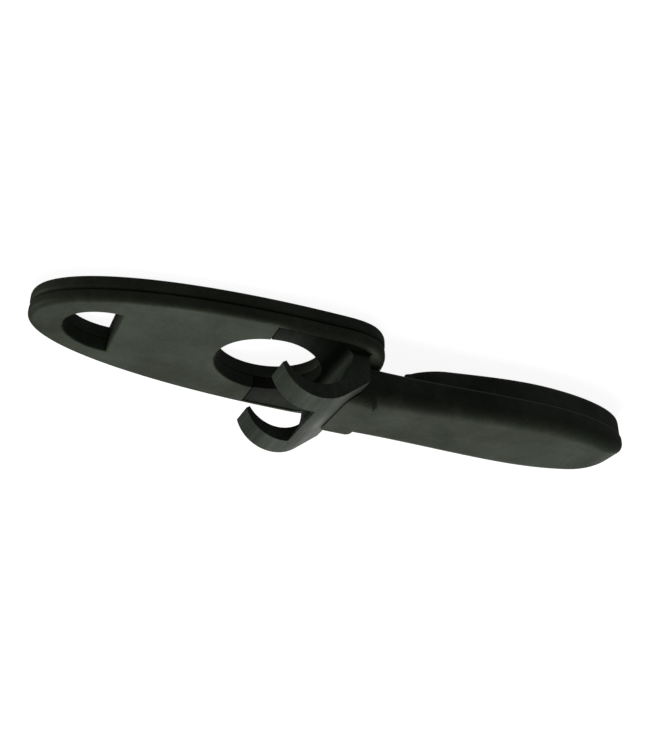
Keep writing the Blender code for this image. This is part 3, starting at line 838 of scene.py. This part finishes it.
def nylon(name, base, worn, roughness, fineness=1.0, scuffing=0.5, streaks=0.0, painted_recess_shade=1.0, seam=0.0):
    """A moulded black nylon.

    The shade for low places is painted shade: it darkens the colour and the sheen of what lies at the height
    of the leaf's face or under it, standing in for the shade that the clip's jaws cast on the seat.
    seam lightens the horn's parting line.
    """
    made = bpy.data.materials.new(name)
    made.use_nodes = True
    tree = made.node_tree
    shader = tree.nodes["Principled BSDF"]
    vector = add(tree, "ShaderNodeTexCoord").outputs["Object"]
    grain = add(tree, "ShaderNodeGroup", node_tree=GRAIN)
    scuffs = add(tree, "ShaderNodeGroup", node_tree=SCUFFS)
    lines = add(tree, "ShaderNodeGroup", node_tree=STREAKS)
    for used in (grain, scuffs, lines):
        tree.links.new(vector, used.inputs["Vector"])
    grain.inputs["Fineness"].default_value = fineness
    scuffs.inputs["Amount"].default_value = scuffing
    dark = tuple(c * MOTTLE_DARK for c in base)
    colour = mixed(tree, grain.outputs["Mottle"], (*dark, 1), (*base, 1))
    scratched = maths(tree, "MULTIPLY", scuffs.outputs["Scratch"], SCRATCH_WEAR)
    rubbed = maths(tree, "MULTIPLY", scuffs.outputs["Patch"], PATCH_WEAR)
    streaked = maths(tree, "MULTIPLY", lines.outputs["Line"], streaks)
    for share in (rubbed, scratched, streaked):
        colour = mixed(tree, share, colour, (*worn, 1))
    height = add(tree, "ShaderNodeSeparateXYZ", links={"Vector": vector}).outputs["Z"]
    off_seam = maths(tree, "ABSOLUTE", maths(tree, "SUBTRACT", height, SEAM_HEIGHT), 0)
    band = ramp(tree, off_seam, SEAM_HALF_BAND / 2, SEAM_HALF_BAND, seam, 0)
    colour = mixed(tree, band, colour, SEAM_COLOUR)
    # Painted shade: the colour and the sheen are darkened at and below the leaf's face, for the shade of the
    # clip's jaws on the seat
    shade = ramp(tree, height, FACE_HEIGHT, FACE_HEIGHT + PAINTED_SHADE_DEPTH, painted_recess_shade, 1)
    sheens = [SHEEN * swing for swing in SHEEN_SWING]
    sheen = ramp(tree, grain.outputs["Mottle"], 0, 1, *sheens)
    tree.links.new(maths(tree, "MULTIPLY", shade, sheen), shader.inputs["Specular IOR Level"])
    speck = ramp(tree, grain.outputs["Speck"], 0, 1, 1 - SPECKLE, 1 + SPECKLE)
    shade = maths(tree, "MULTIPLY", shade, speck)
    shaded = add(tree, "ShaderNodeVectorMath", operation="SCALE", links={"Vector": colour, "Scale": shade})
    tree.links.new(shaded.outputs["Vector"], shader.inputs["Base Color"])
    rough = ramp(tree, grain.outputs["Mottle"], 0, 1, roughness + DULLER, roughness - SHINIER)
    rough = maths(tree, "ADD", rough, maths(tree, "MULTIPLY", scuffs.outputs["Patch"], PATCH_ROUGHNESS))
    tree.links.new(rough, shader.inputs["Roughness"])
    relief = maths(tree, "SUBTRACT", grain.outputs["Height"], scratched)
    ridges = maths(tree, "MULTIPLY", lines.outputs["Line"], streaks * STREAK_RELIEF)
    relief = maths(tree, "ADD", relief, ridges)
    values = {"Strength": BUMP_STRENGTH, "Distance": BUMP_DEPTH}
    bump = add(tree, "ShaderNodeBump", values, {"Height": relief})
    tree.links.new(bump.outputs["Normal"], shader.inputs["Normal"])
    return made


def steel(name):
    made = bpy.data.materials.new(name)
    made.use_nodes = True
    tree = made.node_tree
    shader = tree.nodes["Principled BSDF"]
    vector = add(tree, "ShaderNodeTexCoord").outputs["Object"]
    lines = add(tree, "ShaderNodeGroup", {}, {"Vector": vector}, node_tree=STREAKS)
    scuffs = add(tree, "ShaderNodeGroup", {}, {"Vector": vector}, node_tree=SCUFFS)
    colour = mixed(tree, scuffs.outputs["Patch"], STEEL_BRIGHT, STEEL_DULL)
    tree.links.new(colour, shader.inputs["Base Color"])
    tree.links.new(ramp(tree, lines.outputs["Line"], 0, 1, *STEEL_ROUGHNESS), shader.inputs["Roughness"])
    values = {"Strength": STEEL_BUMP_STRENGTH, "Distance": STEEL_BUMP_DEPTH}
    bump = add(tree, "ShaderNodeBump", values, {"Height": lines.outputs["Line"]})
    tree.links.new(bump.outputs["Normal"], shader.inputs["Normal"])
    shader.inputs["Metallic"].default_value = 1
    return made


def floor_material():
    made = bpy.data.materials.new("pale_floor")
    made.use_nodes = True
    tree = made.node_tree
    shader = tree.nodes["Principled BSDF"]
    shader.inputs["Base Color"].default_value = FLOOR_GREY
    shader.inputs["Roughness"].default_value = FLOOR_ROUGHNESS
    shader.inputs["Specular IOR Level"].default_value = 0.0
    shader.inputs["Emission Color"].default_value = (1, 1, 1, 1)
    shader.inputs["Emission Strength"].default_value = FLOOR_GLOW
    return made


# Pieces


def leaf_plate(name, low, high, top_rim, bottom_rim):
    """A plate with its two openings, whose rims are rounded on the outer face only."""
    plate = Solid(name, leaf_blank(name, low, high, top_rim, bottom_rim))
    plate.rims(FACE_ROUND)
    rounds = (HOLE_EDGE, 0) if low == 0 else (0, HOLE_EDGE)
    plate.cut(flared("slot", slot_outline(), low, high, *rounds))
    plate.cut(flared("eye", eye_outline(), low, high, *rounds))
    return plate


def leaf_back_plate():
    plate = leaf_plate("leaf_back_plate", 0, BACK_THICKNESS, GROOVE_CHAMFER, FACE_ROUND)
    plate.cut_screws(PLATE_SCREW, FACE_HEIGHT)
    plate.cut_screws(CLIP_SCREW, FACE_HEIGHT)
    plate.cut_screws(ROOT_SCREW, FACE_HEIGHT)
    plate.finished(LEAF_NYLON, "black_nylon", "leaf_back_plate")


def leaf_front_plate():
    plate = leaf_plate("leaf_front_plate", FRONT_BOTTOM, FACE_HEIGHT, FACE_ROUND, GROOVE_CHAMFER)
    plate.cut(flared("pocket", foot_outline(GAP), FRONT_BOTTOM, FACE_HEIGHT, 0, POCKET_EDGE))
    plate.cut_screws(PLATE_SCREW, PLATE_SCREW_LENGTH)
    plate.cut_screws(ROOT_SCREW, FACE_HEIGHT + CUT_MARGIN)
    plate.finished(LEAF_NYLON, "black_nylon", "leaf_front_plate")


def rail_clip():
    clip = Solid("rail_clip", side_prism("rail_clip", clip_outline(), FOOT_WIDTH / 2))
    step = at(FOOT_STATION_FAR)
    far_step = [(step, 0), (at(0), 0), (at(0), FOOT_WIDTH), (step, FOOT_WIDTH)]
    clip.cut(prism("far_step", far_step, 0, FACE_HEIGHT + CUT_MARGIN))
    back = at(CLIP_BACK_STATION) - CUT_MARGIN
    front = at(FOOT_STATION_NEAR) + CUT_MARGIN
    for side, sign in SIDES:
        inner, outer = sign * CLIP_WIDTH / 2, sign * FOOT_WIDTH
        trim = [(back, inner), (front, inner), (front, outer), (back, outer)]
        clip.cut(prism(f"shoulder_{side}", trim, FACE_HEIGHT - GAP, ABOVE))
        clip.cut(prism(f"corner_{side}", foot_corner(sign), 0, FACE_HEIGHT + CUT_MARGIN))
    half = CLIP_WIDTH / 2 - JAW_WIDTH
    clip.cut(side_prism("notch", notch_outline(), half))
    clip.cut(prism("eye", eye_outline(), 0, FACE_HEIGHT + CUT_MARGIN / 2))
    clip.cut_screws(CLIP_SCREW, CLIP_SCREW_LENGTH)
    clip.soften(CLIP_EDGE)
    clip.finished(CLIP_NYLON, "clip_nylon", "rail_clip")


def horn_body():
    start = CLIP_INNER_STATION + CLIP_INNER_RADIUS

    def section(station):
        share = max(0, (station - (LENGTH - HORN_TOE)) / HORN_TOE)
        drop = HORN_TOE_DROP * (1 - math.sqrt(max(0, 1 - share * share)))
        front = max(0, 1 - (station - start) / HORN_ROUND)
        lip = LIP_DROP * (1 - math.sqrt(max(0, 1 - front * front)))
        width = max(horn_half_width(station, HORN_WIDTH, HORN_NECK_WIDTH), END_HALF_WIDTH)
        high = horn_top(station) - drop - lip
        points = []
        for y, z in rounded_section(width, HORN_BOTTOM, high, HORN_ROUND, PARTING_CHAMFER):
            beside = max(0, abs(y) / width - HUMP_CORNER_START) / (1 - HUMP_CORNER_START)
            fall = horn_top(station) - horn_top(station + HUMP_CORNER * beside**2)
            points.append((y, z - fall * (z - HORN_BOTTOM) / (high - HORN_BOTTOM)))
        return points

    ramp_start, ramp_end = HUMP_END_STATION - HUMP_RAMP / 2, HUMP_END_STATION + HUMP_RAMP / 2
    before, after = RAMP_MARGINS
    stations = spread(start, ramp_start - before, HUMP_STEPS) + spread(ramp_start, ramp_end, RAMP_STEPS)
    stations += spread(ramp_end + after, HORN_WIDEST_STATION, HORN_STEPS) + end_stations()
    horn = Solid("horn_body", loft("horn_body", stations, section))
    room = [(at(0), 0), (at(0), ABOVE)] + clip_outer_arc(GAP)
    room += [spine_end(GAP), (at(CLIP_BACK_STATION) - GAP, 0)]
    horn.cut(side_prism("clip_room", room, FOOT_WIDTH))
    horn.cut_screws(ROOT_SCREW, ROOT_SCREW_LENGTH)
    for number, station in enumerate(COVER_SCREWS, 1):
        horn.cut(screw_room(f"room_{number}", (at(station), 0), COVER_SCREW_LENGTH))
    horn.soften(CLIP_EDGE, HORN_EDGE_ANGLE)
    horn.finished(HORN_NYLON, "black_nylon", "horn_body")


def moulding_mark():
    """A faint raised ring on the near shoulder of the hump, let half its thickness into the surface."""
    angle = math.radians(MARK_ANGLE)
    half_width = HORN_NECK_WIDTH / 2 - HORN_ROUND
    normal = Vector((0, -math.cos(angle), math.sin(angle)))
    round_way = Vector((0, math.sin(angle), math.cos(angle)))
    axis = Vector((at(MARK_STATION), -half_width, HUMP_HEIGHT - HORN_ROUND))
    middle = axis + normal * HORN_ROUND
    work = bmesh.new()
    rings = []
    for turn in spread(0, 2 * math.pi, ARC_STEPS)[:-1]:
        outward = Vector((math.cos(turn), math.sin(turn), 0))
        ring = []
        for lift in spread(0, 2 * math.pi, EDGE_SEGMENTS * 4)[:-1]:
            spot = outward * (MARK_RADIUS + MARK_LINE * math.cos(lift))
            spot += Vector((0, 0, MARK_RISE * math.sin(lift)))
            spot.rotate(normal.to_track_quat("Z", "X"))
            bend = spot.dot(round_way) ** 2 / (2 * HORN_ROUND)
            ring.append(work.verts.new(middle + spot - normal * bend))
        rings.append(ring)
    for first, second in zip(rings, rings[1:] + rings[:1]):
        for k in range(len(first)):
            n = (k + 1) % len(first)
            work.faces.new((first[k], first[n], second[n], second[k]))
    mesh = closed("horn_mark_fine", work)
    mesh.materials.append(HORN_NYLON)
    show("horn_mark_fine", mesh, "black_nylon")


def horn_back_cover():
    def section(station):
        nose = max(0, 1 - (station - COVER_STATION) / COVER_NOSE)
        width = horn_half_width(station, COVER_WIDTH, COVER_NECK_WIDTH) * math.sqrt(max(0, 1 - nose * nose))
        share = max(0, (station - (LENGTH - COVER_ROUND)) / COVER_ROUND)
        rise = COVER_ROUND * (1 - math.sqrt(max(0, 1 - share * share)))
        width = max(width, END_HALF_WIDTH)
        return rounded_section(width, rise, HORN_BOTTOM - GAP, PARTING_CHAMFER, COVER_ROUND)

    nose_ends = [COVER_NOSE * (1 - math.cos(k / NOSE_STEPS * math.pi / 2)) for k in range(NOSE_STEPS + 1)]
    stations = [COVER_STATION + END_STEP] + [COVER_STATION + s for s in nose_ends if s > 2 * END_STEP]
    stations += spread(stations[-1], HORN_WIDEST_STATION, COVER_STEPS)[1:] + end_stations()
    cover = Solid("horn_back_cover", loft("horn_back_cover", stations, section))
    for number, station in enumerate(COVER_SCREWS, 1):
        cover.cut(screw_room(f"room_{number}", (at(station), 0), FACE_HEIGHT + CUT_MARGIN))
    cover.finished(HORN_NYLON, "black_nylon", "horn_back_cover")


def screws():
    for side, sign in SIDES:
        screw(f"plate_screw_{side}", PLATE_SCREW[0], sign * PLATE_SCREW[1], PLATE_SCREW_LENGTH)
        screw(f"clip_screw_{side}", CLIP_SCREW[0], sign * CLIP_SCREW[1], CLIP_SCREW_LENGTH)
        screw(f"root_screw_{side}", ROOT_SCREW[0], sign * ROOT_SCREW[1], ROOT_SCREW_LENGTH)
    for number, station in enumerate(COVER_SCREWS, 1):
        screw(f"cover_screw_{number}", station, 0, COVER_SCREW_LENGTH)


# Setting


def softbox(name, direction, distance, size, energy, colour):
    """A square soft light in the given direction, turned to the middle of the floor."""
    lamp = bpy.data.lights.new(name, "AREA")
    lamp.size = size
    lamp.energy = energy
    lamp.color = colour
    made = bpy.data.objects.new(name, lamp)
    bpy.context.scene.collection.objects.link(made)
    away = Vector(direction).normalized()
    made.location = away * distance
    made.rotation_euler = away.to_track_quat("Z", "Y").to_euler()


def setting():
    """The floor, which lights nothing and takes no part in reflections, the world and the three lights."""
    work = bmesh.new()
    bmesh.ops.create_grid(work, x_segments=1, y_segments=1, size=FLOOR_HALF_SIZE)
    mesh = bpy.data.meshes.new("floor")
    work.to_mesh(mesh)
    work.free()
    mesh.materials.append(floor_material())
    floor = link("floor", mesh)
    floor.location.z = -FLOOR_DROP
    floor.visible_diffuse = False
    floor.visible_glossy = False
    floor.visible_shadow = False
    world = bpy.data.worlds.new("studio")
    world.use_nodes = True
    world.node_tree.nodes["Background"].inputs["Color"].default_value = (1, 1, 1, 1)
    world.node_tree.nodes["Background"].inputs["Strength"].default_value = AMBIENT
    bpy.context.scene.world = world
    for name, direction, distance, size, energy, colour in LIGHTS:
        softbox(name, direction, distance, size, energy, colour)


def camera():
    """Looks down from the near side, turned over, so that the object's top faces the picture's bottom."""
    lens = bpy.data.cameras.new("camera")
    lens.lens = CAMERA_LENS
    lens.shift_x, lens.shift_y = CAMERA_SHIFT
    lens.clip_start = CAMERA_NEAREST
    made = bpy.data.objects.new("camera", lens)
    bpy.context.scene.collection.objects.link(made)
    back = Vector(CAMERA_BACK).normalized()
    right = Vector(CAMERA_RIGHT)
    right = (right - back * right.dot(back)).normalized()
    turn = Matrix((right, back.cross(right), back)).transposed()
    made.matrix_world = Matrix.Translation(CAMERA_PLACE) @ turn.to_4x4()
    bpy.context.scene.camera = made
    bpy.context.scene.view_settings.view_transform = "Standard"


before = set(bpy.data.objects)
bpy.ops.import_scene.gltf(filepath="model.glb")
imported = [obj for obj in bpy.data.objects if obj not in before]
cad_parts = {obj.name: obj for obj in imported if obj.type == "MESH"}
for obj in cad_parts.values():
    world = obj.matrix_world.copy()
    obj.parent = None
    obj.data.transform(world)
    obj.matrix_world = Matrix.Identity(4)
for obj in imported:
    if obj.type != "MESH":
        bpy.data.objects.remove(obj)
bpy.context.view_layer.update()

GRAIN, SCUFFS, STREAKS = grain_group(), scuff_group(), streak_group()
LEAF_NYLON = nylon("leaf_nylon", base=(0.038, 0.048, 0.031), worn=(0.078, 0.092, 0.066),
                   roughness=0.6, scuffing=0.7)
HORN_NYLON = nylon("horn_nylon", base=(0.037, 0.047, 0.031), worn=(0.076, 0.090, 0.065),
                   roughness=0.55, fineness=0.8, scuffing=0.55, seam=0.7)
# The clip's nylon is darkened by painted shade on its low foot, the seat under the jaws
CLIP_NYLON = nylon("clip_nylon", base=(0.040, 0.049, 0.038), worn=(0.100, 0.114, 0.096),
                   roughness=0.5, fineness=1.2, scuffing=0.45, streaks=0.42, painted_recess_shade=0.3)
STEEL = steel("stainless_steel")
LEAF_TREE, THREAD_TREE = leaf_tree(), thread_tree()

leaf_back_plate()
leaf_front_plate()
rail_clip()
horn_body()
moulding_mark()
horn_back_cover()
screws()
setting()
camera()
